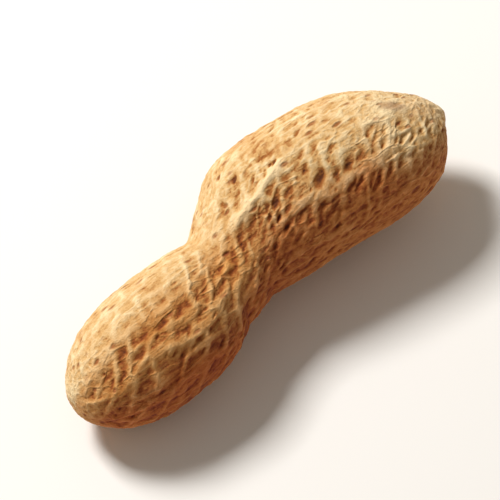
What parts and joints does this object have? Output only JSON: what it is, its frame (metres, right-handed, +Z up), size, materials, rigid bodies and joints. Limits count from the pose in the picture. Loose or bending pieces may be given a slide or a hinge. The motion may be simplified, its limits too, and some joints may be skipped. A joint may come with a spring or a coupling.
{
  "type": "peanut",
  "caption": "Whole peanut in its shell: a two-lobed pod with a slight waist and a raised net of ribs, lying on its side.",
  "frame": {"origin": "on the ground under the middle of the pod's box", "axes": "+X along the pod from the smaller lobe to the larger lobe and its beak, +Y towards the outside of its bend, +Z up"},
  "size_m": [0.051, 0.0188, 0.0153],
  "materials": {
    "shell": "dry, matt, fibrous shell, pale straw on the ribs and brown in the pits"
  },
  "bodies": {
    "root": {"pod": "shell"}
  },
  "joints": []
}
